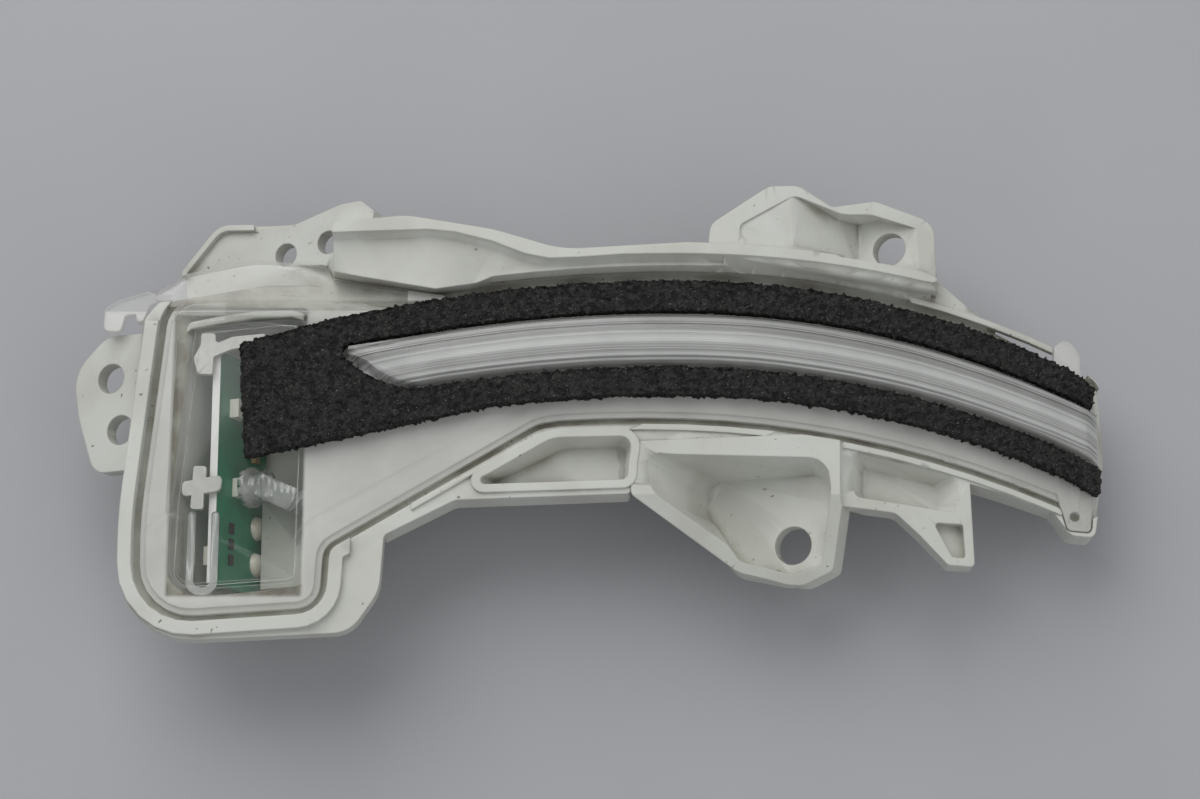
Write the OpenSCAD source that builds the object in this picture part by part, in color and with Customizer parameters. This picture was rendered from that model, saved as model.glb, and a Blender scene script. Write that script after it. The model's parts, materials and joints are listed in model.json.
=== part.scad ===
// Mirror turn signal lamp, lying on its back with the lens upwards.
// Plan coordinates are taken on the lens flange: x runs along the arm, y across it.
// The arm bends down towards its tip, and the housing was drawn from its mould at a lean.

/* [Overall] */
// Height of the lens flange above the surface that the lamp lies on
front_h = 27; // [26.5:0.5:30]
// Lean of the mould draw away from the flange's normal, in degrees
draw_tilt = 24; // [22:1:25]
// Radius of the bend that takes the arm down to its tip
arm_bend_r = 280; // [250:10:400]

/* [Housing] */
// Wall of the housing
wall_t = 1.8; // [1.4:0.1:2.2]
// Thickness of the deck round the lens
deck_t = 4; // [3.6:0.1:4.6]
// Depth of the lamp box behind the flange, at the foot of its right-hand wall
box_depth = 16.8; // [16.5:0.1:17.2]
// Depth of the trough behind the lens along the arm
trough_depth = 5.5; // [5:0.25:6.5]
// Width of the open groove round the edge of the lens
groove_w = 1.4; // [1:0.1:1.6]
// Width of the lip round the lamp box
lip_w = 2.5; // [2:0.1:3]
// Height of that lip above the flange
lip_h = 1.2; // [0.8:0.1:1.6]
// Height of the rim along the back edge of the arm
rim_h = 4.5; // [3.8:0.1:5.5]
// Height of the shelf between that rim and the lens
shelf_h = 2.2; // [1.8:0.1:2.8]
// Depth of the pockets in the front edge of the arm
pocket_depth = 5.2; // [4:0.1:5.5]

/* [Brackets] */
// Diameter of the screw hole in the front bracket
front_hole_d = 7.2; // [5:0.1:8]
// Diameter of the screw hole in the rear bracket
rear_hole_d = 6.4; // [5:0.1:7]
// Diameter of the two holes in the side tab
tab_hole_d = 5.7; // [4:0.1:6]
// Diameter of the two holes in the corner plate
corner_hole_d = 4.6; // [3.5:0.1:5]
// Thickness of the tabs and bracket plates
plate_t = 3; // [2.4:0.1:3.6]
// Depth of the front bracket's funnel at its screw hole
funnel_depth = 7; // [6:0.25:8]
// Diameter of the two posts behind the arm
post_d = 6; // [5:0.25:8]

/* [Connector] */
// Width of the connector shroud across the lamp
shroud_w = 17; // [15:0.5:19]
// Size of the connector shroud along the arm
shroud_l = 9; // [8.6:0.1:9.6]
// Wall of the shroud
shroud_t = 1.3; // [1:0.1:1.6]
// Width of a terminal
pin_w = 1.5; // [1:0.1:2]
// Thickness of a terminal
pin_t = 0.8; // [0.6:0.1:1]

/* [Lens] */
// Thickness of the lens
lens_t = 2; // [1.6:0.1:2.4]
// Width of the lens flange round the lamp box
flange_w = 4.5; // [3.8:0.1:5]
// Width of the lens flange along the arm
arm_flange_w = 3; // [2.4:0.1:3.4]
// Width of the raised strip that shows in the mirror's cover
strip_w = 9.6; // [8.5:0.1:9.8]
// Height of the raised strip above the flange
strip_h = 4; // [3.6:0.1:4.8]
// Wall of the raised strip
strip_t = 1.5; // [1.2:0.1:1.8]

/* [Foam gasket] */
// Width of the foam on each side of the raised strip
foam_w = 6.1; // [5:0.1:6.2]
// Thickness of the foam
foam_t = 3.4; // [2.6:0.1:3.5]

/* [Circuit board] */
// Length of the board
board_l = 44; // [40:0.5:45]
// Height of the board as it stands on its edge
board_d = 17.5; // [16:0.25:17.6]
// Thickness of the board
board_t = 1.6; // [1:0.1:2]
// Side of a light-emitting diode's package
led_w = 3.5; // [2.8:0.1:3.8]
// Height of that package off the board
led_h = 1.9; // [1:0.1:2]
// Width of the light guide in the arm
guide_w = 5; // [4:0.1:5.4]

/* [Hidden] */

// Clearances
fit_gap = 0.15;
seat_gap = 0.3;
foam_gap = 0.25;
far = 120;

// Crowns of the arm: x of the peak, y of the peak, radius to its left, radius to its right
seam_low = [8, -3.3, 240, 218];
seam_high = [14.8, 23, 281, 188];
strip_mid = [13, 11, 262, 200];
deck_low = [8, -7.6, 240, 250];
rim_out = [12, 29.1, 240, 240];
rim_in = [14, 26.9, 400, 240];
foam_margin = 0.5;
ramp_run = 0.9;
rim_run = 2.6;

// Places on the flange
arm_bend_x = 20;
box_right = -50.7;
box_left = -84.3;
box_top = 16;
board_y = 10.4;
box_bottom = board_y - board_l - 7.4;
arm_x = box_right + 11.1;
knee = [-11.5, -4.4];
tip_x = 92.8;
strip_tip = [-47, 8.6];
wing_y = 19.6;
wing_drop = 25;

// Front faces of the plates that are square to the draw: x, y, z of a point on each
front_screw = [35.8, -26.2, -funnel_depth];
rear_screw = [54.3, 29.3, -1.3];
tab_ref = [box_left - 3.7, 0, -3];
tab_screws = [[box_left - 7.1, 5.1], [box_left - 4.9, -5]];
corner_ref = [-48, 0, -2];
corner_screws = [[-59.6, 30], [-51.3, 31.4]];
box_floor = [box_right - 4, 0, -box_depth];
posts = [[46, -2], [14, 21]];

function plan(p) = [p.x, p.y];
function unit(v) = v / norm(v);
function front_z(x) = x <= arm_bend_x ? 0 : sqrt(pow(arm_bend_r, 2) - pow(x - arm_bend_x, 2)) - arm_bend_r;
function crown(x, c, up = 0) =
    let (r = x < c.x ? c[2] : c[3]) c.y + up + sqrt(r * r - pow(x - c.x, 2)) - r;
function crown_run(c, x0, x1, n, up = 0) =
    [for (i = [0:n]) let (x = x0 + (x1 - x0) * i / n) [x, crown(x, c, up), 0]];

// A closed path is a list of [x, y, corner radius], anticlockwise
function corner_arc(a, b, c, n) =
    let (
        u = unit(plan(a) - plan(b)),
        v = unit(plan(c) - plan(b)),
        half = acos(u * v) / 2,
        centre = plan(b) + unit(u + v) * b[2] / sin(half),
        from = plan(b) + u * b[2] / tan(half) - centre,
        to = plan(b) + v * b[2] / tan(half) - centre,
        a0 = atan2(from.y, from.x),
        turn = atan2(to.y, to.x) - a0,
        sweep = turn > 180 ? turn - 360 : turn < -180 ? turn + 360 : turn
    )
    [for (k = [0:n]) centre + b[2] * [cos(a0 + sweep * k / n), sin(a0 + sweep * k / n)]];
function rounded(p, n = 6) =
    [for (i = [0:len(p) - 1])
        let (a = p[(i + len(p) - 1) % len(p)], b = p[i], c = p[(i + 1) % len(p)])
        each b[2] > 0 ? corner_arc(a, b, c, n) : [plan(b)]];

// Moves a path outwards, by one distance round the box and another along the arm
function grow(p, d, arm_d = undef) =
    [for (i = [0:len(p) - 1])
        let (
            a = p[(i + len(p) - 1) % len(p)], b = p[i], c = p[(i + 1) % len(p)],
            e = unit(plan(b) - plan(a)),
            f = unit(plan(c) - plan(b)),
            ne = [e.y, -e.x],
            nf = [f.y, -f.x],
            by = (is_undef(arm_d) || b.x < knee.x - 1) ? d : arm_d,
            at = plan(b) + by * (ne + nf) / (1 + ne * nf),
            bend = cross(e, f) > 0 ? 1 : -1
        )
        [at.x, at.y, b[2] > 0 ? max(b[2] + bend * by, 0.3) : 0]];

// Space between two heights above the flange's bent surface
module band(top, bottom)
    rotate([90, 0, 0])
        linear_extrude(height = 2 * far, center = true)
            union() {
                translate([-far, bottom])
                    square([far + arm_bend_x, top - bottom]);
                intersection() {
                    translate([arm_bend_x, -arm_bend_r])
                        difference() {
                            circle(r = arm_bend_r + top, $fn = 720);
                            circle(r = arm_bend_r + bottom, $fn = 720);
                        }
                    translate([arm_bend_x, -far])
                        square([far, 2 * far]);
                }
            }

// Plate of a closed path that follows the bend
module slab(path, top, bottom, n = 6)
    intersection() {
        translate([0, 0, -40])
            linear_extrude(height = 60)
                polygon(rounded(path, n));
        band(top, bottom);
    }

// Places along the mould draw: u runs across the lean, h along it
function lean_u(x, z) = x * cos(draw_tilt) + z * sin(draw_tilt);
function lean_h(x, z) = z * cos(draw_tilt) - x * sin(draw_tilt);
function lean_z(x, ref) = ref.z + (x - ref.x) * tan(draw_tilt);
function ref_h(ref) = lean_h(ref.x, ref.z);
module leaning() rotate([0, -draw_tilt, 0]) children();

// Plate square to the draw, its front face through ref and its outline given on that face
module plate(path, ref, t, up = 0)
    leaning()
        translate([0, 0, ref_h(ref) - t])
            linear_extrude(height = t + up)
                polygon(rounded([for (q = path) [lean_u(q.x, lean_z(q.x, ref)), q.y, q[2]]]));

// Prism along the draw through a path on the flange, from height h upwards
module drawn(path, h)
    leaning()
        translate([0, 0, h])
            linear_extrude(height = far)
                polygon(rounded([for (q = path) [lean_u(q.x, 0), q.y, q[2]]]));

// Space along the draw over such a face, or over one that lies deeper by depth
module sunk(path, ref, depth = 0)
    leaning()
        translate([0, 0, ref_h(ref) - depth])
            linear_extrude(height = far)
                polygon(rounded([for (q = path) [lean_u(q.x, lean_z(q.x, ref)), q.y, q[2]]]));

// Screw hole along the draw, through the front face at ref
module bore(at, ref, d)
    leaning()
        translate([lean_u(at.x, lean_z(at.x, ref)), at.y, ref_h(ref) - 2 * plate_t])
            cylinder(d = d, h = 6 * plate_t, $fn = 64);

// Block in the leaning frame, given by its lowest and highest corners
module block(low, high)
    translate(low)
        cube(high - low);

// Outlines placed in space, level or on a plane that falls or climbs along x
function level(path, z, n = 6) = [for (p = rounded(path, n)) [p.x, p.y, z]];
function sloping(path, at_x, z, slope, n = 6) =
    [for (p = rounded(path, n)) [p.x, p.y, z + (p.x - at_x) * slope]];

// Skin through sections of as many points each, closed at both ends
module sweep(sections) {
    m = len(sections);
    k = len(sections[0]);
    polyhedron(
        points = [for (s = sections) each s],
        faces = concat(
            [[for (j = [0:k - 1]) j]],
            [[for (j = [k - 1:-1:0]) (m - 1) * k + j]],
            [for (i = [0:m - 2], j = [0:k - 1], half = [0, 1])
                let (a = i * k + j, b = i * k + (j + 1) % k)
                half == 0 ? [a, a + k, b + k] : [a, b + k, b]]));
}

// A slope's edges lie this far under the surfaces that they meet
sunk_edge = 0.06;

// Slope at the foot of a wall that follows a line of the plan, its foot lying run in front of it
module ramp(line, z_foot, rise, run)
    sweep([for (p = line)
        let (z = front_z(p.x) + z_foot)
        [[p.x, p.y - run, z - 0.5], [p.x, p.y + 0.6, z - 0.5], [p.x, p.y + 0.6, z + rise - sunk_edge],
         [p.x, p.y, z + rise - sunk_edge], [p.x, p.y - run, z - sunk_edge]]]);

seam = concat(
    [[box_left + 4, box_top + 3, 6],
     [box_left, box_bottom + 19, 90],
     [box_left + 0.3, box_bottom, 9.5],
     [box_right - 0.6, box_bottom + 2.2, 4.5],
     [box_right, -27.6, 4],
     [knee.x, knee.y, 9]],
    crown_run(seam_low, -7.5, 85, 12),
    [[tip_x - 0.2, -20, 2], [tip_x + 1.2, -8, 20], [tip_x, 4.6, 2.5]],
    crown_run(seam_high, tip_x - 4.8, -40, 16),
    [[-57, 21.4, 26]]);
window = grow(seam, -flange_w, -arm_flange_w);

lip_edge = groove_w + lip_w;
rim_back = [[-7, 27.7, 20], [-20, 31.6, 25], [-36, 34.3, 14]];
deck = concat(
    [[box_left - 0.6, box_top - 0.6, 2.5],
     [box_left - lip_edge, box_bottom + 17, 90],
     [box_left - lip_edge, box_bottom - 4.7, 14],
     [box_right + 5.2, box_bottom - 2.6, 6],
     [arm_x - 0.7, -36, 8],
     [arm_x, -25.6, 1.2],
     [-26.6, -19, 3],
     [5.5, -17.8, 0.8],
     [7.5, -8, 0]],
    crown_run(deck_low, 12, 84, 10),
    [[87.6, -24, 2], [tip_x - 0.6, -24.2, 1.5], [tip_x + 2, -9, 20], [tip_x + 1.2, 6.2, 2.5],
     [85, 9.6, 0], [73.5, 15.2, 4], [64, 23.3, 2]],
    crown_run(rim_out, 60, 16, 7),
    rim_back,
    [[-50, 33, 1.5], [-49.6, 23.4, 1], [-60, 23.6, 20], [box_left + 2.4, box_top + 3.2, 5]]);

box_cut = [
    [box_left + flange_w + 1.4, box_top + 2, 4],
    [box_left + flange_w + 0.4, box_bottom + 19, 60],
    [box_left + flange_w + 0.6, box_bottom + 3.6, 4.5],
    [box_right - 4.6, box_bottom + 6.4, 1.5],
    [box_right - 4, 18.2, 2]];
floor_h = ref_h(box_floor);

// Board, standing on its edge in the lamp box, in the leaning frame
board_u = -66.6;
board_top = 24.9;
board_low = board_y - board_l;
board_foot = board_top - board_d;
pin_ys = [board_low + 12.8, board_low + 5.8];
pin_h = 10;
pad_top = pin_h + 1.4;
shroud_mid = [-57.5, board_low + 9.3];
shroud_foot = (-front_h - (shroud_mid.x - shroud_l / 2) * sin(draw_tilt)) / cos(draw_tilt);
vent_at = [-58, -1];

module box_body()
    intersection() {
        drawn(grow(box_cut, wall_t), floor_h - wall_t);
        translate([-far, -far, -front_h])
            cube([far, 2 * far, front_h - 1]);
    }

shelf_end = 23;
rim_line = concat(
    [[-49.9, 31, 0], [-32, 31.6, 0], [-27, 31.1, 0], [-20, 29.3, 0], [-14, 26.9, 0], [-9.5, 26, 0],
     [-4, 26.2, 0]],
    crown_run(rim_in, 4, shelf_end, 4),
    crown_run(rim_in, shelf_end + 6, 62, 6));
module rim()
    slab(concat(rim_line, [[63.6, 22.9, 0.5]], crown_run(rim_out, 60, 16, 7), rim_back, [[-50, 33, 1.2]]),
        rim_h, -1);

shelf_line = concat(
    [[-49.6, 24, 0], [-44, 23, 0], [-27, 20.1, 0]],
    crown_run(seam_high, -20, shelf_end, 6, groove_w + ramp_run));
function shelf_section(x, h) =
    let (y = crown(x, seam_high, groove_w), back = crown(x, rim_in, 1), z = front_z(x))
    [[x, y, z - 1], [x, back, z - 1], [x, back, z + h], [x, y + ramp_run, z + h], [x, y, z - sunk_edge]];
module shelf() {
    slab(concat(shelf_line, [[shelf_end, 27, 0], [-4, 27, 0], [-9, 27, 12], [-20, 30.6, 12],
        [-30, 32.7, 14], [-49.9, 32.5, 0]]), shelf_h, -1);
    sweep([
        shelf_section(shelf_end - 1, shelf_h - sunk_edge),
        shelf_section(shelf_end, shelf_h - sunk_edge),
        shelf_section(shelf_end + 4.5, 0.1)]);
}

// Low ridge round the lens's groove along the arm
ridge_w = 1.1;
ridge_h = 0.45;
module seat_ridge()
    difference() {
        slab(grow(seam, groove_w + ridge_w), ridge_h, -1);
        slab(grow(seam, groove_w), 9, -9);
        translate([arm_x + 5 - 2 * far, -far, -far])
            cube(2 * far);
        translate([tip_x - 6, -far, -far])
            cube(2 * far);
    }

// Front bracket: a funnel whose floor carries the screw hole
front_top = [[5.8, -8, 0], [5.8, -18, 1.5], [22.9, -31.4, 5], [34.2, -34, 4],
    [40.6, -31.2, 2], [44.2, -20, 0], [44.4, -6.4, 0]];
funnel_rim = [[8, -10, 2], [8.6, -17, 5], [25, -30, 3], [34.8, -32.2, 3],
    [39.8, -30.2, 2], [42.4, -17, 8], [41.8, -10.8, 4]];
funnel_floor = [[20.5, -12.8, 3], [20.4, -19, 5], [27, -29.4, 3], [36, -32, 3],
    [41, -30, 2], [43, -18, 6], [42.4, -13.4, 3]];
rim_fall = -18;
rim_fall_slope = 0.42;

// Side profile of the bracket: level at the arm, then falling towards the front
module front_profile(t)
    rotate([90, 0, 90])
        linear_extrude(height = far)
            polygon([[-5, 0.3], [rim_fall, 0.3], [-45, 0.3 + (45 + rim_fall) * -rim_fall_slope],
                [-45, 0.3 - t + (45 + rim_fall) * -rim_fall_slope], [rim_fall, 0.3 - t], [-5, 0.3 - t]]);

module front_bracket() {
    slope = tan(draw_tilt);
    intersection() {
        drawn(front_top, -far / 2);
        front_profile(4.2);
    }
    intersection() {
        sweep([
            sloping(grow(funnel_floor, wall_t), front_screw.x, front_screw.z - plate_t, slope),
            level(grow(funnel_rim, wall_t), 1)]);
        front_profile(30);
    }
}
module front_bracket_cut()
    sweep([
        sloping(funnel_floor, front_screw.x, front_screw.z, tan(draw_tilt)),
        level(funnel_rim, 1)]);

// Pockets and hook in the front edge of the arm
edge_rim = [[-24.6, -16.3, 0.8], [5.2, -15.3, 1.2], [5.4, -11.8, 3], [6.2, -6.9, 2], [-9, -7.2, 7]];
edge_floor = [[-21.4, -15.6, 0.5], [4.4, -14.4, 1], [4.6, -11.8, 2.5], [4.8, -7.9, 1.5], [-6.5, -8.3, 5]];
web_rim = [[45.8, -9.2, 1], [46.4, -18.3, 1.5], [66.6, -21, 1], [66.8, -13.8, 1]];
web_floor = [[48.6, -11.4, 1], [48.6, -17.4, 1.5], [62.8, -19.4, 1], [62.8, -14.6, 1]];
hook_top = [[43.6, -6.4, 0], [44.4, -19.9, 0], [54.4, -21, 3], [58.8, -25, 6], [64, -30.5, 1.2],
    [69, -30.7, 0.8], [68.4, -10, 0]];
hook_cut = [[61.4, -22.6, 0.6], [64.8, -29, 0.6], [67.3, -29.2, 0.6], [67, -22.8, 0.6]];
web_slope = -0.14;

module pockets() {
    sweep([level(edge_floor, -pocket_depth), level(edge_rim, 1)]);
    sweep([
        sloping(web_floor, 56, front_z(56) - pocket_depth, web_slope),
        sloping(web_rim, 56, front_z(56) + 1, web_slope)]);
    slab(hook_cut, 9, -2.4);
}

// Rear bracket: a domed shell with a sunk seat for its screw
rear_h = 3.6;
rear_top = [[20, 27, 0], [63, 20.5, 0], [62.6, 34, 3.5], [51.6, 37.8, 3], [43.4, 36.4, 1.5],
    [37.2, 40.5, 4], [31.6, 40.3, 4], [20.6, 32.8, 3]];
seat = [[48.2, 26.5, 0], [60.4, 24.4, 0], [60.4, 32.4, 1.5], [52.5, 35.2, 1.5], [48.2, 35, 1.5]];

dome_face = [[25.8, 32.6, 1.5], [26.6, 29.8, 1.5], [38, 28.3, 0], [52, 26.2, 0], [52, 34.6, 0], [45, 35.2, 1.5],
    [36.4, 38.6, 2.5]];
face_z = rear_h - 0.5;

// Face of the bracket's dome: sunk a little inside its border, then sloping down to the seat
module seat_slope(under = 0, out = 0)
    intersection() {
        linear_extrude(height = far, center = true)
            polygon(rounded(grow(dome_face, out)));
        rotate([90, 0, 0])
            linear_extrude(height = 2 * far, center = true)
                polygon([[20, face_z - under], [36, face_z - under], [48.6 + out, -4.2 - under],
                    [56, 9], [20, 9]]);
    }

module rear_bracket() {
    difference() {
        slab(rear_top, rear_h, -6);
        slab(grow(rear_top, -wall_t), rear_h - wall_t, -20);
    }
    intersection() {
        sunk(grow(seat, wall_t), rear_screw, plate_t);
        slab(rear_top, rear_h - 0.2, -20);
    }
    intersection() {
        seat_slope(wall_t + 0.4, wall_t);
        slab(rear_top, rear_h - 0.2, -20);
    }
}

module tab_plate()
    plate([[box_left + 3, 13, 0], [box_left - 8.3, 13.4, 6], [box_left - 14.7, 6.8, 7],
        [box_left - 13.3, -2, 20], [box_left - 9.9, -12.8, 3.5], [box_left + 3, -12.8, 0]], tab_ref, plate_t);
corner_path = [[-79, 21, 0], [-44, 21, 0], [-42.5, 36.4, 0], [-45, 38.8, 2], [-49, 38.6, 4],
    [-58, 35.8, 6], [-63, 36.2, 1], [-72.6, 37.4, 5], [-80, 29, 1.5]];
corner_rib_x = -66;
module corner_plate() {
    plate(corner_path, corner_ref, plate_t);
    difference() {
        plate(corner_path, corner_ref, 1, 1.2);
        plate(grow(corner_path, -1.1), corner_ref, 2, 3);
        translate([corner_rib_x, -far, -far])
            cube(2 * far);
        translate([-far, -far, -far])
            cube([2 * far, far + 28, 2 * far]);
    }
}

// Terminal in the leaning frame: out of the board, along the pad and down into the shroud
module terminal_shape(y, gap = 0) {
    low = pin_h - pin_t / 2;
    side = pin_w / 2 + gap;
    block([board_u - board_t - 0.6, y - side, low - gap],
        [shroud_mid.x + pin_t / 2 + gap, y + side, low + pin_t + gap]);
    block([shroud_mid.x - pin_t / 2 - gap, y - side, shroud_foot + 1.5],
        [shroud_mid.x + pin_t / 2 + gap, y + side, low + pin_t + gap]);
}

module connector() {
    half = [shroud_l, shroud_w] / 2;
    leaning() {
        difference() {
            block([shroud_mid.x - half.x, shroud_mid.y - half.y, shroud_foot],
                [shroud_mid.x + half.x, shroud_mid.y + half.y, floor_h - wall_t / 2]);
            block([shroud_mid.x - half.x + shroud_t, shroud_mid.y - half.y + shroud_t, shroud_foot - 1],
                [shroud_mid.x + half.x - shroud_t, shroud_mid.y + half.y - shroud_t, floor_h - wall_t]);
        }
        translate([shroud_mid.x + half.x, shroud_mid.y, shroud_foot + 2])
            rotate([0, 30, 0])
                translate([-1.4, -2.2, 0])
                    cube([1.8, 4.4, 2.4]);
    }
}

module post(at) {
    top = front_z(at.x) - trough_depth;
    translate([at.x, at.y, -front_h])
        cylinder(d = post_d, h = front_h + top, $fn = 48);
    for (turn = [0, 90])
        translate([at.x, at.y, top - 1.2])
            rotate([0, 0, turn])
                translate([-post_d, -wall_t / 2, -7])
                    cube([2 * post_d, wall_t, 7]);
}

// Tilted sheet that the lens wing lies in, and the space over it
module wing_sheet(low, high)
    translate([0, wing_y, 0])
        rotate([-wing_drop, 0, 0])
            translate([-far, -0.6, low])
                cube([far, 20, high - low]);
wing = [[box_left + 4, box_top - 2, 0], [-42, 15, 0], [-30, 18.2, 0], [-28.5, 20, 0.4], [-45.4, 22.9, 0.5],
    [-50.4, 24, 0.5], [-51, 26.6, 2],
    [-65, 28.1, 14], [-77.4, 25, 2], [-83, 20.6, 0.5], [-82.4, 15, 0]];
wing_tab = [[-92.6, 13.4, 1], [-89.4, 13.2, 1], [-88.6, 16.4, 0.6], [-86.6, 16.6, 0.3], [-86.4, 15, 0.4],
    [-85.2, 15.4, 0.3], [-84, 18.4, 0.3], [-80.5, 19.4, 0], [-80, 21.6, 0], [-84.8, 20.9, 1], [-89.8, 19.3, 1],
    [-92.4, 17.8, 1]];
wing_tab_z = [-0.8, -2.8];
pin_tab = [[85.6, 3, 0], [90.8, 2, 0], [90.6, 11, 1.6], [88.2, 14.2, 1.8], [85.5, 12, 1.2]];
tip_ear = [[84.8, -15, 0], [87, -23, 1], [tip_x - 1.4, -23.2, 1], [tip_x - 0.6, -15, 0]];

module housing() {
    color([0.78, 0.79, 0.76])
        difference() {
            union() {
                slab(deck, 0, -deck_t);
                slab(grow(window, wall_t), -1, -trough_depth - wall_t);
                intersection() {
                    slab(deck, 0, -trough_depth - wall_t);
                    translate([arm_x, -far, -far])
                        cube(2 * far);
                }
                difference() {
                    slab(grow(seam, lip_edge), lip_h, -1);
                    slab(grow(seam, groove_w), 9, -9);
                    translate([box_right + 5, -far, -far])
                        cube(2 * far);
                    translate([-far, box_top - 1, -far])
                        cube(2 * far);
                }
                slab(grow(edge_rim, 1.5), 0.5, -1);
                box_body();
                rim();
                shelf();
                rear_bracket();
                front_bracket();
                slab(hook_top, 0, -deck_t - 1.5);
                tab_plate();
                corner_plate();
                connector();
                for (p = posts) post(p);
                ramp([for (p = rim_line) if (p.x > shelf_end - 1) p], 0, rim_h, rim_run);
                ramp([for (p = rim_line) if (p.x < shelf_end + 1) p], shelf_h, rim_h - shelf_h, ramp_run);
                ramp(shelf_line, 0, shelf_h, ramp_run);
                seat_ridge();
            }
            slab(grow(seam, groove_w), 9, -lens_t - fit_gap);
            slab(window, 9, -trough_depth);
            difference() {
                drawn(box_cut, floor_h);
                leaning()
                    block([board_u + 1.9, shroud_mid.y - shroud_w / 2, floor_h - 1],
                        [shroud_mid.x + shroud_l, shroud_mid.y + shroud_w / 2, pad_top]);
            }
            pockets();
            front_bracket_cut();
            sunk(seat, rear_screw);
            seat_slope();
            intersection() {
                wing_sheet(-lens_t - fit_gap, 20);
                slab(grow(wing, seat_gap), 20, -20, 3);
            }
            slab(grow(wing_tab, seat_gap), 9, wing_tab_z[1] - fit_gap, 3);
            slab(grow(pin_tab, seat_gap), 9, -lens_t - fit_gap);
            slab(grow(tip_ear, seat_gap), 9, -lens_t - fit_gap);
            for (s = tab_screws) bore(s, tab_ref, tab_hole_d);
            for (s = corner_screws) bore(s, corner_ref, corner_hole_d);
            bore(front_screw, front_screw, front_hole_d);
            bore(rear_screw, rear_screw, rear_hole_d);
            leaning() {
                for (y = pin_ys) terminal_shape(y, fit_gap);
                translate([vent_at.x, vent_at.y, floor_h - 2 * wall_t])
                    cylinder(d = 3, h = 3 * wall_t, $fn = 32);
            }
        }
}

// Edges and height of the raised strip at x: they grow from its pointed left end
function strip_low(x) =
    let (full = crown(x, strip_mid) - strip_w / 2, t = (x - strip_tip.x) / 17)
    t >= 1 ? full : let (end = strip_tip.y - 0.8) end + (full - end) * (1 - pow(max(0, 1 - t / 0.85), 1.6));
function strip_high(x) =
    let (full = crown(x, strip_mid) + strip_w / 2, t = (x - strip_tip.x) / 17)
    t >= 1 ? full :
        let (end = strip_tip.y + 0.9) end + (crown(strip_tip.x + 17, strip_mid) + strip_w / 2 - end) * t;
function strip_rise(x) =
    min(1, 0.84 + (x - strip_tip.x) / 30, 2.5 * (x - strip_tip.x) - 0.1, 0.25 + (tip_x + 0.6 - x) / 3.2);
// Its pointed end is cut off at a slant along the lower edge
function strip_slant(x) = min(0.3 * (strip_high(x) - strip_low(x)), 2.2 * max(0, 1 - (x - strip_tip.x) / 11));

// Step round the lens's edge
edge_step_w = 1.1;
edge_step_h = 0.6;

// Panel over the lamp box, sunk a little into the lens's face
panel_depth = 0.4;
front_panel = [[box_left + 5.8, box_top - 2.1, 3], [box_left + 4.6, box_bottom + 19.2, 0.4],
    [box_left + 7, box_bottom + 19.5, 0.8], [box_left + 6.4, box_bottom + 5.6, 3],
    [box_right - 5.2, box_bottom + 7.4, 1.5], [box_right - 4.4, box_top - 0.6, 1.5],
    [box_left + 16, box_top - 0.6, 20]];

// Top of the strip: [share of the width, share of the height]
strip_profile = [[0, 0.62], [0.05, 0.82], [0.14, 0.93], [0.17, 0.88], [0.3, 0.95], [0.5, 1], [0.7, 0.95],
    [0.83, 0.88], [0.86, 0.93], [0.95, 0.82], [1, 0.62]];
function strip_section(x, inset, low, top) =
    let (a = strip_low(x) + inset, b = strip_high(x) - inset, z = front_z(x), h = top * strip_rise(x),
        c = a + strip_slant(x))
    concat([[x, a, z + low], [x, b, z + low]],
        [for (p = strip_profile) [x, b - (b - c) * p[0], z + h * p[1]]]);

// The strip is hollow from here on, and the hollow rises to its full height in a short slope
hollow_x = strip_tip.x + 9;
function hollow_rise(x) = min(1, 0.2 + (x - hollow_x) / 8);
strip_xs = concat(
    [strip_tip.x, strip_tip.x + 0.5],
    [for (x = [2:2:16]) strip_tip.x + x],
    [for (i = [1:20]) strip_tip.x + 16 + i * 6],
    [tip_x - 1.8, tip_x - 0.4, tip_x + 0.4]);

module lens() {
    color([0.86, 0.88, 0.86, 0.6])
        difference() {
            union() {
                slab(grow(seam, -edge_step_w), 0, -lens_t);
                slab(seam, -edge_step_h, -lens_t);
                sweep([for (x = strip_xs) strip_section(x, 0, -0.5, strip_h)]);
                intersection() {
                    slab(grow(window, -0.6), -lens_t / 2, -lens_t - 0.5);
                    translate([-far, -far, -far])
                        cube([2 * far + box_right, 2 * far, 2 * far]);
                }
                intersection() {
                    wing_sheet(-lens_t, 0);
                    slab(wing, 2, -20, 3);
                }
                slab(wing_tab, wing_tab_z[0], wing_tab_z[1], 3);
                slab(pin_tab, 0, -lens_t);
                slab(tip_ear, 0, -lens_t);
            }
            slab(grow(window, -1.8), -lens_t, -9);
            sweep([for (x = strip_xs) if (x > hollow_x && x < tip_x - 0.8)
                strip_section(x, strip_t, -lens_t - 0.4, (strip_h - strip_t) * hollow_rise(x))]);
            slab(front_panel, 9, -panel_depth, 8);
            translate([tip_x - 4.4, -20.4, -20])
                cylinder(d = 1.9, h = 30, $fn = 24);
        }
}

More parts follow.
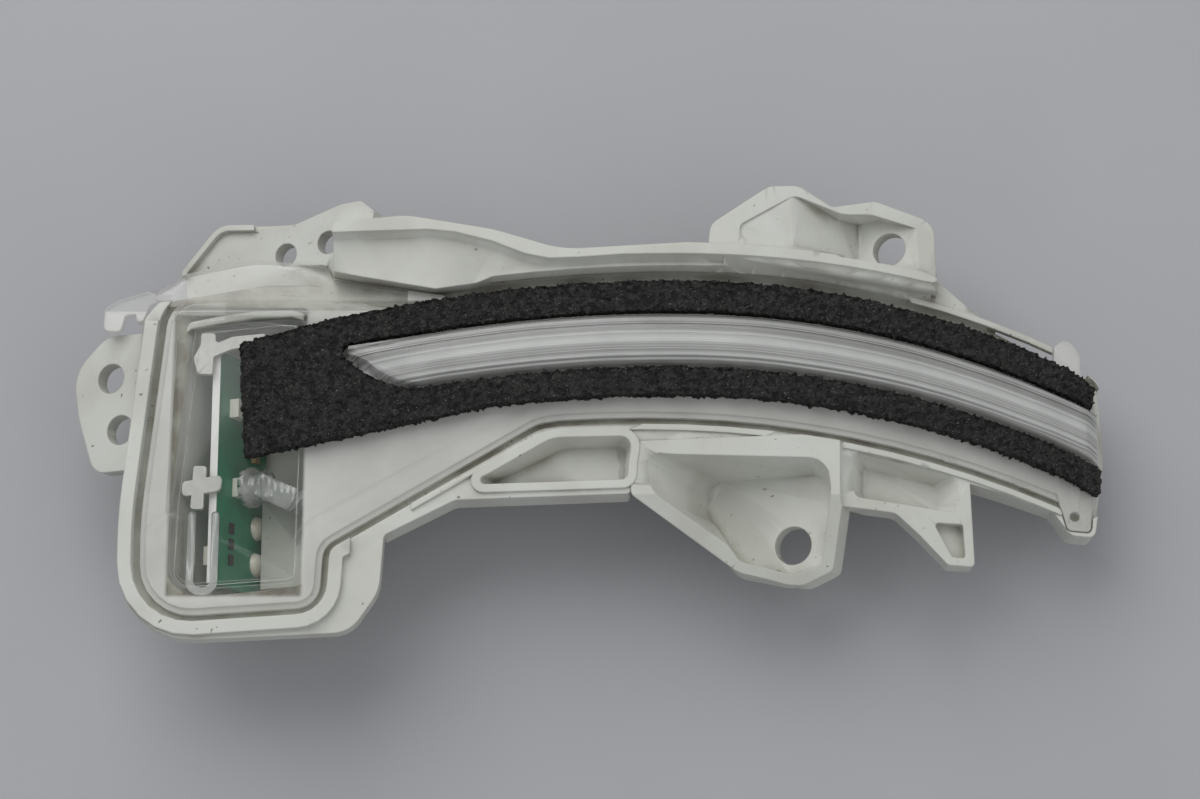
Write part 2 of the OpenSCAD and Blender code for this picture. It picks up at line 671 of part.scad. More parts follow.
module foam_gasket() {
    foam_high = [seam_high.x, seam_high.y - foam_margin, seam_high[2], seam_high[3]];
    path = concat(
        [[-67, 10.2, 0.6], [-65.6, -12, 0.8], [-40, -6.4, 30]],
        crown_run(strip_mid, -20, 88, 12, -strip_w / 2 - foam_w),
        [[93.2, -17.6, 0.8], [94, -11.6, 0.6]],
        [for (x = [88:-10:-22]) [x, strip_low(x) - foam_gap, 0]],
        [for (x = [-28:-3:-46]) [x, strip_low(x) - foam_gap, 0]],
        [[strip_tip.x - foam_gap, strip_tip.y - 0.7, 0], [strip_tip.x - foam_gap, strip_tip.y + 1, 0]],
        [for (x = [-44:4:-32]) [x, strip_high(x) + foam_gap, 0]],
        [for (x = [-26:9.5:88]) [x, strip_high(x) + foam_gap, 0]],
        [[92.4, -0.6, 0.6], [93.2, 4.2, 0.6]],
        crown_run(foam_high, 88, -54, 14));
    color([0.1, 0.1, 0.11])
        slab(path, foam_t, 0.05, 3);
}

// Light guide: a round head at its diode, a flat neck under the flange, then a bar up in the strip
guide_from = [-65.8, 0.4, -8.6];
function guide_mix(a, b, t) = a + (b - a) * t;
function guide_ring(c, w, low, high, n = 12) =
    [for (k = [0:n - 1])
        let (a = 360 * k / n, m = (high + low) / 2, r = (high - low) / 2)
        [c.x, c.y + w / 2 * cos(a), m + r * sin(a)]];
guide_neck = [for (t = [0:0.2:1])
    let (x = guide_mix(guide_from.x, -52, t), mid = guide_mix(guide_from.z, -3.75, pow(t, 0.7)),
        r = guide_mix(2, 1.35, t))
    guide_ring([x, guide_mix(guide_from.y, 4.2, t)], guide_mix(4, guide_w, t), mid - r, mid + r)];
guide_bar = [for (x = concat([-47, -42, -38, -34], [for (i = [0:15]) -28 + i * 7.8]))
    let (z = front_z(x), up = min(1, max(0, (x + 36) / 8)),
        y = x < -36 ? guide_mix(4.2, crown(-34, strip_mid), (x + 52) / 18) : crown(x, strip_mid))
    guide_ring([x, y], guide_w, z - trough_depth + 0.4, z + guide_mix(-2.4, 1.2, up))];
module light_guide()
    color([0.9, 0.93, 0.93, 0.6])
        sweep(concat(guide_neck, guide_bar));

// Collimator bar: a round lens over the second diode and a bar that runs to the right-hand wall
bar_at = [board_low + 19, 17.6];
module collimator_bar()
    color([0.9, 0.93, 0.93, 0.6])
        leaning()
            difference() {
                union() {
                    translate([board_u + led_h + seat_gap, bar_at.x, bar_at.y])
                        rotate([0, 90, 0]) {
                            cylinder(d = 7.6, h = 1.4, $fn = 40);
                            cylinder(d1 = 4.4, d2 = 6.4, h = 4.6, $fn = 40);
                        }
                    translate([board_u + led_h + 4, bar_at.x, bar_at.y])
                        rotate([0, 90, -26])
                            translate([-2.6, -2.2, 0])
                                cube([4.4, 4.4, 9.4]);
                }
                translate([board_u + led_h + 7, bar_at.x - 12, bar_at.y + 0.8])
                    rotate([0, 0, -26])
                        cube([4, 20, 4]);
            }

// Height of the small pieces between the lens and the board's upper edge
clip_low = -lens_t - 2.1;
clip_high = -lens_t - 0.75;

// Clear U-shaped guide over the lower end of the board
module side_light_guide()
    color([0.9, 0.93, 0.93, 0.6])
        slab([[box_left + 8.4, board_low + 13, 0.6], [box_left + 8.3, board_low - 2.6, 2.6],
            [box_left + 14.1, board_low - 2.7, 2.6], [box_left + 14.1, board_low + 13, 0.6],
            [box_left + 12.7, board_low + 13, 0.6], [box_left + 12.7, board_low - 1.3, 1.3],
            [box_left + 9.7, board_low - 1.2, 1.3], [box_left + 9.8, board_low + 13, 0.6]],
            clip_high, clip_low, 4);

// Clips that hold the board's upper edge
module board_clip_upper()
    color([0.83, 0.84, 0.82])
        slab([[box_left + 9.3, 5.7, 0.4], [box_left + 12, 5.6, 0.4], [box_left + 12.1, 9, 0.6],
            [box_left + 15.5, 10.4, 0.6], [box_left + 21.7, 11.6, 0.3], [box_left + 21.7, 13.4, 0.3],
            [box_left + 15.7, 12.8, 0.6], [box_left + 12.4, 11.4, 0.6], [box_left + 12.4, 13.4, 0.4],
            [box_left + 9.8, 13.4, 0.4], [box_left + 9.7, 11.2, 0.4], [box_left + 8.4, 8.6, 0.8]],
            clip_high, clip_low, 4);
module board_clip_lower()
    color([0.83, 0.84, 0.82]) {
        slab([[box_left + 7.1, bar_at.x - 3.2, 0.8], [box_left + 14.1, bar_at.x - 2, 0.8],
            [box_left + 14.5, bar_at.x + 1, 0.8], [box_left + 7.1, bar_at.x - 0.4, 0.8]],
            clip_high, clip_low, 3);
        slab([[box_left + 8.9, bar_at.x - 1.4, 0.5], [box_left + 11.3, bar_at.x - 1.2, 0.5],
            [box_left + 11.5, bar_at.x + 2.6, 0.5], [box_left + 9.1, bar_at.x + 2.6, 0.5]],
            clip_high, clip_low, 3);
        slab([[box_left + 8.7, bar_at.x - 5.5, 0.5], [box_left + 11.1, bar_at.x - 5.5, 0.5],
            [box_left + 11.1, bar_at.x - 2.2, 0.5], [box_left + 8.9, bar_at.x - 2.2, 0.5]],
            clip_high, clip_low, 3);
    }

module circuit_board()
    color([0.2, 0.45, 0.36])
        leaning()
            difference() {
                block([board_u - board_t, board_y - board_l, board_foot], [board_u, board_y, board_top]);
                for (y = pin_ys)
                    block([board_u - board_t - 1, y - pin_w / 2 - 0.1, pin_h - pin_t / 2 - 0.1],
                        [board_u + 1, y + pin_w / 2 + 0.1, pin_h + pin_t / 2 + 0.1]);
            }

// Part soldered on the board's face, or on its back, at y and h
module chip(y, h, size, back = false)
    leaning()
        translate([back ? board_u - board_t - size.z : board_u, y - size.x / 2, h - size.y / 2])
            cube([size.z, size.x, size.y]);
module led(y, h, back = false)
    color([0.93, 0.92, 0.86])
        difference() {
            chip(y, h, [led_w, led_w, led_h], back);
            leaning()
                translate([back ? board_u - board_t - led_h + 0.5 : board_u + led_h - 0.5, y, h])
                    rotate([0, back ? -90 : 90, 0])
                        cylinder(d1 = led_w * 0.6, d2 = led_w * 0.8, h = 1, $fn = 32);
        }
resistor_size = [2, 1.3, 0.5];
module resistor(y, h)
    color([0.13, 0.13, 0.13])
        chip(y, h, resistor_size);

module terminal(y)
    color([0.72, 0.7, 0.62])
        leaning()
            terminal_shape(y);
// Solder mound round a terminal on the board's face
module solder(y)
    color([0.7, 0.69, 0.64])
        leaning()
            difference() {
                translate([board_u, y, pin_h])
                    rotate([0, 90, 0])
                        rotate_extrude($fn = 32)
                            polygon([[0, 0], [2.3, 0], [2.1, 0.7], [1.6, 1.2], [1, 1.5], [0, 1.6]]);
                block([board_u - 1, y - pin_w / 2, pin_h - pin_t / 2],
                    [board_u + 4, y + pin_w / 2, pin_h + pin_t / 2]);
            }
module vent_membrane()
    color([0.2, 0.2, 0.2])
        leaning()
            translate([vent_at.x, vent_at.y, floor_h - wall_t - 0.3])
                cylinder(d = 6.5, h = 0.3, $fn = 40);

// The whole lamp stands with its origin under the middle of its outline
mid = [-1.9, -2.27, 0];
module placed()
    translate([-mid.x, -mid.y, front_h])
        children();

placed() housing();
placed() lens();
placed() foam_gasket();
placed() light_guide();
placed() collimator_bar();
placed() side_light_guide();
placed() board_clip_upper();
placed() board_clip_lower();
placed() circuit_board();
placed() led(0.2, 19.4);  // led_arm
placed() led(bar_at.x, bar_at.y);  // led_bar
placed() led(board_low + 5.6, 21.4, true);  // led_side
placed() resistor(board_low + 11.1, 19.6);  // resistor_1
placed() resistor(board_low + 8.1, 19.6);  // resistor_2
placed() resistor(board_low + 5.1, 19.6);  // resistor_3
placed() resistor(5.6, 17);  // resistor_4
placed() color([0.6, 0.5, 0.38]) chip(-7.4, 12, [2.4, 1.6, 1]);  // capacitor
placed() color([0.12, 0.12, 0.12]) chip(4, 10.5, [4.2, 2.6, 2]);  // diode
placed() terminal(pin_ys[0]);  // terminal_upper
placed() terminal(pin_ys[1]);  // terminal_lower
placed() solder(pin_ys[0]);  // solder_upper
placed() solder(pin_ys[1]);  // solder_lower
placed() vent_membrane();
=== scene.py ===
import json
import math

import bpy
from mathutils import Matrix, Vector


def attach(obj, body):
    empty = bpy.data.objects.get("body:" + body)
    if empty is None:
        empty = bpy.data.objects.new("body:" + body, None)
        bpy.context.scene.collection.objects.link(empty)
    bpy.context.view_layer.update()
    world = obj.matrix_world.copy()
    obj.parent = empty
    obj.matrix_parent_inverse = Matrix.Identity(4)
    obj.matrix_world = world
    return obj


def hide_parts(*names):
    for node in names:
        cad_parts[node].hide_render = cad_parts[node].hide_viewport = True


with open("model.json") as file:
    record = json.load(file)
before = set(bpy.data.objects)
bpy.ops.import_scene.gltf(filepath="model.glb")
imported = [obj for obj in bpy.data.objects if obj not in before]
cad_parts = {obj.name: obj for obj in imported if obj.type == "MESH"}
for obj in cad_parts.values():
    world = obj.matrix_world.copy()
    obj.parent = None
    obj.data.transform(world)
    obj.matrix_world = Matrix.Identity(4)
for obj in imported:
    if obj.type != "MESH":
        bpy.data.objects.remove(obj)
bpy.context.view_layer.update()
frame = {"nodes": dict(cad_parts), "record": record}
nodes = frame["nodes"]
print("frame loaded:", len(nodes), "nodes")

mm = 0.001
mergeGap = 0.002 * mm  # corners nearer than this become one
edgeSamples = 6  # rays that round an edge in a material
hollowSamples = 8  # rays that find how open a spot is


# Selection and small steps that every piece needs

def selectOnly(obj):
    bpy.ops.object.select_all(action="DESELECT")
    obj.select_set(True)
    bpy.context.view_layer.objects.active = obj


def finishPiece(obj, nodeName):
    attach(obj, "root")
    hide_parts(nodeName)


# A copy of a CAD node with its loose triangles merged
def mergedCopy(nodeName, pieceName):
    selectOnly(nodes[nodeName])
    bpy.ops.object.duplicate()
    piece = bpy.context.active_object
    piece.name = pieceName
    bpy.ops.object.mode_set(mode="EDIT")
    bpy.ops.mesh.select_all(action="SELECT")
    bpy.ops.mesh.remove_doubles(threshold=mergeGap)
    bpy.ops.object.mode_set(mode="OBJECT")
    return piece


# The copy takes the node's place, smoothly shaded and in its material
def dressNode(nodeName, pieceName, material, smoothAngle):
    piece = mergedCopy(nodeName, pieceName)
    bpy.ops.object.shade_smooth_by_angle(angle=math.radians(smoothAngle))
    evenShade = piece.modifiers.new("evenShade", "WEIGHTED_NORMAL")
    evenShade.keep_sharp = True
    evenShade.weight = 100
    bpy.ops.object.modifier_apply(modifier="evenShade")
    piece.data.materials.clear()
    piece.data.materials.append(material)
    finishPiece(piece, nodeName)


# Nodes of a material are added and joined by these

def newMaterial(name):
    material = bpy.data.materials.new(name)
    material.use_nodes = True
    tree = material.node_tree
    return material, tree, tree.nodes["Principled BSDF"]


def addNode(tree, kind, **settings):
    node = tree.nodes.new("ShaderNode" + kind)
    for key, value in settings.items():
        if key in node.inputs:
            node.inputs[key].default_value = value
        else:
            setattr(node, key, value)
    return node


def objectCoordinates(tree):
    return addNode(tree, "TexCoord").outputs["Object"]


def feed(tree, value, socket):
    if isinstance(value, bpy.types.NodeSocket):
        tree.links.new(value, socket)
    else:
        socket.default_value = value


def calculate(tree, operation, first, second=0.0):
    node = addNode(tree, "Math", operation=operation)
    feed(tree, first, node.inputs[0])
    feed(tree, second, node.inputs[1])
    return node.outputs[0]


def multiply(tree, first, second):
    return calculate(tree, "MULTIPLY", first, second)


def remap(tree, value, fromLow, fromHigh, toLow=0.0, toHigh=1.0):
    node = addNode(tree, "MapRange")
    feed(tree, value, node.inputs["Value"])
    node.inputs["From Min"].default_value = fromLow
    node.inputs["From Max"].default_value = fromHigh
    node.inputs["To Min"].default_value = toLow
    node.inputs["To Max"].default_value = toHigh
    return node.outputs["Result"]


# 1 between low and high, 0 outside, with soft ends
def within(tree, value, low, high, soft):
    rising = remap(tree, value, low - soft, low + soft)
    falling = remap(tree, value, high - soft, high + soft, 1, 0)
    return multiply(tree, rising, falling)


def noise(tree, vector, scale, detail=2.0, roughness=0.5):
    texture = addNode(tree, "TexNoise", Scale=scale, Detail=detail, Roughness=roughness)
    tree.links.new(vector, texture.inputs["Vector"])
    return texture.outputs["Fac"]


# In the looks below a pattern is (scale, low, high, detail, roughness), the last two as needed:
# noise from low to high gives 0 to 1
def noiseMask(tree, vector, scale, low, high, detail=2.0, roughness=0.5):
    return remap(tree, noise(tree, vector, scale, detail, roughness), low, high)


def bumpNormal(tree, height, strength, depth, normal=None):
    bump = addNode(tree, "Bump", Strength=strength, Distance=depth)
    tree.links.new(height, bump.inputs["Height"])
    if normal is not None:
        tree.links.new(normal, bump.inputs["Normal"])
    return bump.outputs["Normal"]


def mixColour(tree, factor, first, second):
    mix = addNode(tree, "Mix", data_type="RGBA")
    feed(tree, factor, mix.inputs["Factor"])
    feed(tree, first, mix.inputs[6])
    feed(tree, second, mix.inputs[7])
    return mix.outputs[2]


# A colour as read from a screen, 0 to 255, in the linear numbers that a material takes
def colour(red, green, blue):
    def toLinear(c):
        c = c / 255
        return c / 12.92 if c <= 0.04045 else ((c + 0.055) / 1.055) ** 2.4
    return (toLinear(red), toLinear(green), toLinear(blue), 1)


def darker(tone, share):
    return tuple(c * (1 - share) for c in tone[:3]) + (1,)


# Housing: matt light grey moulding with soft edges, painted olive shade in its corners and creases,
# and road dirt
# A hollow is (from low, from high, to low, to high): how open a spot is, turned into an amount
housingLook = {
    "smoothAngle": 20,
    "body": colour(198, 199, 192),
    "cloudy": colour(190, 191, 182),
    "cloud": (38, 0.35, 0.7, 3),
    "roughness": 0.46,
    "edgeRadius": 0.4 * mm,
    "hollowReach": 2.2 * mm,
    # Painted olive shade: the colour that corners and creases take, more so the more enclosed they
    # are
    "corner": colour(152, 152, 132),
    "cornerHollow": (0.8, 0.25, 0, 0.5),
    "dirt": colour(98, 84, 62),
    "grime": (160, 0.46, 0.64, 4),
    "grimeHollow": (0.65, 0.25),
    "grimeAmount": 0.55,
    "smudge": (85, 0.48, 0.66, 4),
    "smudgeHollow": (0.98, 0.65, 0.12, 0.5),
    "speck": (900, 0.735, 0.765, 1),
    "speckPatch": (60, 0.42, 0.55),
    "speckAmount": 0.8,
    "dust": (2100, 0.66, 0.72),
    "dustPatch": (130, 0.5, 0.62, 3),
    "dustHollow": (0.97, 0.75, 0.15, 0.9),
    "glow": 0.08,
    "glowTint": (1.0, 0.9, 0.6),
    "glowReach": 1.5 * mm,
    "grainScale": 2600,
    "grainStrength": 0.12,
    "grainDepth": 0.05 * mm,
}


def housingPlastic(look):
    material, tree, shader = newMaterial("greyMoulding")
    place = objectCoordinates(tree)
    hollow = addNode(
        tree, "AmbientOcclusion", samples=hollowSamples, Distance=look["hollowReach"]
    )

    def pattern(name):
        return noiseMask(tree, place, *look[name])

    def inHollow(name):
        return remap(tree, hollow.outputs["AO"], *look[name])

    base = mixColour(tree, pattern("cloud"), look["body"], look["cloudy"])
    # Painted shade: the more enclosed a spot is, the more its colour turns to the olive corner
    # shade
    base = mixColour(tree, inHollow("cornerHollow"), base, look["corner"])
    grime = multiply(tree, inHollow("grimeHollow"), pattern("grime"))
    smudge = multiply(tree, pattern("smudge"), inHollow("smudgeHollow"))
    speck = multiply(tree, pattern("speck"), pattern("speckPatch"))
    dust = multiply(tree, pattern("dust"), pattern("dustPatch"))
    for amount in (
        multiply(tree, grime, look["grimeAmount"]),
        smudge,
        multiply(tree, speck, look["speckAmount"]),
        multiply(tree, dust, inHollow("dustHollow")),
    ):
        base = mixColour(tree, amount, base, look["dirt"])
    tree.links.new(base, shader.inputs["Base Color"])
    shader.inputs["Roughness"].default_value = look["roughness"]
    shader.inputs["Subsurface Weight"].default_value = look["glow"]
    shader.inputs["Subsurface Radius"].default_value = look["glowTint"]
    shader.inputs["Subsurface Scale"].default_value = look["glowReach"]
    soft = addNode(tree, "Bevel", samples=edgeSamples, Radius=look["edgeRadius"])
    grain = noise(tree, place, look["grainScale"])
    normal = bumpNormal(
        tree, grain, look["grainStrength"], look["grainDepth"], soft.outputs["Normal"]
    )
    tree.links.new(normal, shader.inputs["Normal"])
    return material


# Clear plastic: what lies behind shows through, and the surface mirrors the lights
clearLook = {
    "tint": (0.99, 0.99, 0.985, 1),
    "haze": colour(222, 222, 216),
    "hazeRoughness": 0.35,
    "roughness": 0.07,
    "ior": 1.5,
    "edgeWidth": 0.3 * mm,
    "edgeTurn": (0.995, 0.93),  # how far the normal has turned where an edge begins and is full
    # Painted highlight: how milky sharp edges are made, in place of the bright lines refraction
    # gives there
    "edgeHighlightHaze": 0.6,
    "rippleDetail": 3,
    "rippleStrength": 0.15,
    "rippleDepth": 0.1 * mm,
    "lineStrength": 0.5,
    "lineDepth": 0.05 * mm,
}


# 1 along sharp edges, where the rounded normal leaves the face's own
def edgeMask(tree, look):
    rounded = addNode(tree, "Bevel", samples=edgeSamples, Radius=look["edgeWidth"])
    geometry = addNode(tree, "NewGeometry")
    same = addNode(tree, "VectorMath", operation="DOT_PRODUCT")
    tree.links.new(rounded.outputs["Normal"], same.inputs[0])
    tree.links.new(geometry.outputs["Normal"], same.inputs[1])
    return remap(tree, same.outputs["Value"], *look["edgeTurn"])


# A mix of see-through plastic, milky body and mirrored light; haze is how milky it is. Sharp edges
# are made milky too, a painted highlight for the bright lines that refraction gives along them
def clearBody(tree, look, haze, normal, gloss):
    shader = tree.nodes["Principled BSDF"]
    shader.inputs["Base Color"].default_value = look["haze"]
    shader.inputs["Roughness"].default_value = look["hazeRoughness"]
    tree.links.new(normal, shader.inputs["Normal"])
    # Painted highlight: milky haze along sharp edges
    onEdges = multiply(tree, edgeMask(tree, look), look["edgeHighlightHaze"])
    clear = addNode(tree, "BsdfTransparent", Color=look["tint"])
    mirror = addNode(tree, "BsdfGlossy", Roughness=look["roughness"])
    tree.links.new(normal, mirror.inputs["Normal"])
    fresnel = addNode(tree, "Fresnel", IOR=look["ior"])
    tree.links.new(normal, fresnel.inputs["Normal"])
    body = addNode(tree, "MixShader")
    feed(tree, calculate(tree, "MAXIMUM", haze, onEdges), body.inputs["Fac"])
    tree.links.new(clear.outputs[0], body.inputs[1])
    tree.links.new(shader.outputs[0], body.inputs[2])
    skin = addNode(tree, "MixShader")
    feed(tree, multiply(tree, fresnel.outputs[0], gloss), skin.inputs["Fac"])
    tree.links.new(body.outputs[0], skin.inputs[1])
    tree.links.new(mirror.outputs[0], skin.inputs[2])
    tree.links.new(skin.outputs[0], tree.nodes["Material Output"].inputs["Surface"])
    return mirror


# Soft edges, a faint ripple, and fine lines where height rises and falls
def clearNormal(tree, place, height, edgeRadius, rippleScale):
    soft = addNode(tree, "Bevel", samples=edgeSamples, Radius=edgeRadius)
    ripple = noise(tree, place, rippleScale, clearLook["rippleDetail"])
    rippled = bumpNormal(
        tree,
        ripple,
        clearLook["rippleStrength"],
        clearLook["rippleDepth"],
        soft.outputs["Normal"],
    )
    return bumpNormal(
        tree, height, clearLook["lineStrength"], clearLook["lineDepth"], rippled
    )


# Lens: clear over the lamp box, milky on its flange, and finely lined along the raised strip, which
# carries painted reflections in pale and dark bands
lensLook = {
    "smoothAngle": 24,
    "edgeRadius": 0.35 * mm,
    "rippleScale": 260,
    "windowLow": (-77.4 * mm, -34.6 * mm),
    "windowHigh": (-52.6 * mm, 19.0 * mm),
    "windowSoft": 0.3 * mm,
    "windowHaze": 0.015,
    "flangeHaze": 0.52,
    "flangeGloss": 0.3,
    "flangeRoughness": 0.3,
    "clearGloss": 0.45,
    "cloud": (90, 0.3, 0.75, 3),
    "cloudHaze": (0.85, 1.1),
    "wingRight": -34 * mm,
    "wingLow": 19.2 * mm,
    "wingSoft": 0.3 * mm,
    "wingHaze": 0.16,
    "stripMiddle": (14.9 * mm, 13.27 * mm),
    "stripBendLeft": 262 * mm,
    "stripBendRight": 200 * mm,
    "stripHalf": 4.7 * mm,
    "stripSoft": 0.2 * mm,
    "stripEnds": (-46 * mm, 95 * mm),
    "stripEndSoft": 0.5 * mm,
    "stripHaze": 0.5,
    # Painted reflections: the pale and dark tones of the bands along the strip
    "stripReflectionPale": colour(228, 229, 226),
    "stripReflectionDark": colour(104, 105, 100),
    "unevenScale": 45,
    "lineGap": 0.42 * mm,
    "lineFade": (0.35, 0.65, 0.2, 1),
    "bandWidth": 0.8 * mm,
    "bandDetail": 3,
    "bandRoughness": 0.6,
    "bandRange": (0.36, 0.6),
    "bandWander": 0.5 * mm,
    "middleReflection": (-1.1 * mm, 0.3 * mm),
    "middleReflectionSoft": 0.5 * mm,
}


# How far a point lies across the strip from its middle line, which curves by a radius each side
def acrossStrip(tree, x, y, look):
    middleX, middleY = look["stripMiddle"]
    along = calculate(tree, "SUBTRACT", x, middleX)
    leftSide = calculate(tree, "LESS_THAN", along, 0)
    bend = remap(
        tree, leftSide, 0, 1, 0.5 / look["stripBendRight"], 0.5 / look["stripBendLeft"]
    )
    drop = multiply(tree, multiply(tree, along, along), bend)  # along squared over twice the radius
    return calculate(tree, "ADD", calculate(tree, "SUBTRACT", y, middleY), drop)


# Painted reflections: pale and dark bands along the strip, with a pale one near its middle
def stripReflectionTone(tree, across, uneven, look):
    wander = multiply(tree, uneven, look["bandWander"])
    bandPlace = multiply(tree, calculate(tree, "ADD", across, wander), 1 / look["bandWidth"])
    bands = addNode(
        tree,
        "TexNoise",
        noise_dimensions="1D",
        Scale=1,
        Detail=look["bandDetail"],
        Roughness=look["bandRoughness"],
    )
    tree.links.new(bandPlace, bands.inputs["W"])
    light = remap(tree, bands.outputs["Fac"], *look["bandRange"])
    middle = within(tree, across, *look["middleReflection"], look["middleReflectionSoft"])
    light = calculate(tree, "MAXIMUM", light, middle)
    return mixColour(tree, light, look["stripReflectionDark"], look["stripReflectionPale"])


def lensPlastic(look):
    material, tree, shader = newMaterial("clearLens")
    place = objectCoordinates(tree)
    axes = addNode(tree, "SeparateXYZ")
    tree.links.new(place, axes.inputs[0])
    x, y = axes.outputs[0], axes.outputs[1]
    (left, low), (right, high) = look["windowLow"], look["windowHigh"]
    inWindow = multiply(
        tree,
        within(tree, x, left, right, look["windowSoft"]),
        within(tree, y, low, high, look["windowSoft"]),
    )
    across = acrossStrip(tree, x, y, look)
    onStrip = multiply(
        tree,
        within(tree, across, -look["stripHalf"], look["stripHalf"], look["stripSoft"]),
        within(tree, x, *look["stripEnds"], look["stripEndSoft"]),
    )
    wingLow, wingSoft = look["wingLow"], look["wingSoft"]
    onWing = multiply(
        tree,
        remap(tree, y, wingLow - wingSoft, wingLow + wingSoft),
        calculate(tree, "LESS_THAN", x, look["wingRight"]),
    )
    haze = remap(tree, inWindow, 0, 1, look["flangeHaze"], look["windowHaze"])
    for area, areaHaze in ((onStrip, look["stripHaze"]), (onWing, look["wingHaze"])):
        haze = calculate(tree, "MINIMUM", haze, remap(tree, area, 0, 1, 1, areaHaze))
    cloud = noiseMask(tree, place, *look["cloud"])
    haze = multiply(tree, haze, remap(tree, cloud, 0, 1, *look["cloudHaze"]))
    uneven = noise(tree, place, look["unevenScale"])
    wave = calculate(tree, "SINE", multiply(tree, across, 2 * math.pi / look["lineGap"]))
    fade = remap(tree, uneven, *look["lineFade"])
    lines = multiply(tree, multiply(tree, wave, onStrip), fade)
    normal = clearNormal(tree, place, lines, look["edgeRadius"], look["rippleScale"])
    clearHere = calculate(tree, "MAXIMUM", inWindow, onStrip)
    gloss = remap(tree, clearHere, 0, 1, look["flangeGloss"], look["clearGloss"])
    mirror = clearBody(tree, clearLook, haze, normal, gloss)
    roughness = remap(
        tree, clearHere, 0, 1, look["flangeRoughness"], clearLook["roughness"]
    )
    tree.links.new(roughness, mirror.inputs["Roughness"])
    # Painted reflections on the strip, the plain haze colour elsewhere
    tone = stripReflectionTone(tree, across, uneven, look)
    tone = mixColour(tree, onStrip, clearLook["haze"], tone)
    tree.links.new(tone, shader.inputs["Base Color"])
    return material


# Guides behind the window: crystal clear, made a little milky as a painted highlight that brightens
# them, with fine notches and bright glints
guideLook = dict(
    clearLook,
    haze=colour(232, 235, 232),
    smoothAngle=40,
    edgeRadius=0.2 * mm,
    rippleScale=400,
    notchScale=260,
    notchWobble=0.4,
    # Painted highlight: milkiness that makes the clear guides look bright
    milk=0.36,
    gloss=2.4,
)


def guidePlastic(look):
    material, tree, _ = newMaterial("clearGuide")
    place = objectCoordinates(tree)
    notches = addNode(
        tree,
        "TexWave",
        Scale=look["notchScale"],
        Distortion=look["notchWobble"],
        bands_direction="X",
    )
    tree.links.new(place, notches.inputs["Vector"])
    height = notches.outputs["Fac"]
    normal = clearNormal(tree, place, height, look["edgeRadius"], look["rippleScale"])
    clearBody(tree, look, look["milk"], normal, look["gloss"])
    return material


# What all the plain finishes share
plainLook = {
    "patchRange": (0.35, 0.7),
    "patchDetail": 3,
    "grainFiner": 4,  # the grain's scale over the patches' scale
    "grainStrength": 0.15,
    "grainDepth": 0.04 * mm,
}


def plainPlastic(name, tone, roughness, patchShade, metallic, patchScale):
    look = plainLook
    material, tree, shader = newMaterial(name)
    place = objectCoordinates(tree)
    patches = noiseMask(tree, place, patchScale, *look["patchRange"], look["patchDetail"])
    base = mixColour(tree, patches, tone, darker(tone, patchShade))
    tree.links.new(base, shader.inputs["Base Color"])
    shader.inputs["Roughness"].default_value = roughness
    shader.inputs["Metallic"].default_value = metallic
    grain = noise(tree, place, patchScale * look["grainFiner"])
    normal = bumpNormal(tree, grain, look["grainStrength"], look["grainDepth"])
    tree.links.new(normal, shader.inputs["Normal"])
    return material


# Foam: near-black, with small open pores painted near-black as the shade inside them, a crumbly
# skin and a few bright grains
foamLook = {
    "skin": colour(49, 46, 44),
    "crumb": colour(17, 16, 15),
    "crumbs": (1700, 0.38, 0.62, 3, 0.65),
    "crumbHeight": 0.5,
    # Painted shade: the near-black colour inside the open pores
    "poreShade": colour(2, 2, 2),
    "pores": (820, 0.48, 0.41, 3),
    "grain": colour(140, 138, 134),
    "grains": (3300, 0.71, 0.75, 1),
    "roughness": 0.75,
    "bumpDepth": 0.45 * mm,
    "voxel": 0.34 * mm,
    "tearSizes": {"torn": 1.3 * mm, "pores": 0.75 * mm},
    "tear": 1.0 * mm,
    "tearMiddle": 0.55,
}


def foamMaterial(look):
    material, tree, shader = newMaterial("openCellFoam")
    place = objectCoordinates(tree)
    crumbs = noiseMask(tree, place, *look["crumbs"])
    pores = noiseMask(tree, place, *look["pores"])
    grains = noiseMask(tree, place, *look["grains"])
    base = mixColour(tree, crumbs, look["crumb"], look["skin"])
    # Painted shade in the pores
    base = mixColour(tree, pores, base, look["poreShade"])
    base = mixColour(tree, grains, base, look["grain"])
    tree.links.new(base, shader.inputs["Base Color"])
    shader.inputs["Roughness"].default_value = look["roughness"]
    crumbHeight = multiply(tree, crumbs, look["crumbHeight"])
    height = calculate(tree, "SUBTRACT", crumbHeight, pores)
    normal = bumpNormal(tree, height, 1.0, look["bumpDepth"])
    tree.links.new(normal, shader.inputs["Normal"])
    return material


def foamPiece(look):
    piece = mergedCopy("foam_gasket", "foamStrip")
    cells = piece.modifiers.new("cells", "REMESH")
    cells.mode = "VOXEL"
    cells.voxel_size = look["voxel"]
    bpy.ops.object.modifier_apply(modifier="cells")
    for name, size in look["tearSizes"].items():
        texture = bpy.data.textures.new(name, "CLOUDS")
        texture.noise_type = "HARD_NOISE"
        texture.noise_scale = size
        displace = piece.modifiers.new(name, "DISPLACE")
        displace.texture = texture
        displace.texture_coords = "LOCAL"
        displace.strength = look["tear"]
        displace.mid_level = look["tearMiddle"]
        bpy.ops.object.modifier_apply(modifier=name)
    bpy.ops.object.shade_smooth()
    piece.data.materials.clear()
    piece.data.materials.append(foamMaterial(look))
    finishPiece(piece, "foam_gasket")
    print("foam:", len(piece.data.polygons), "faces")


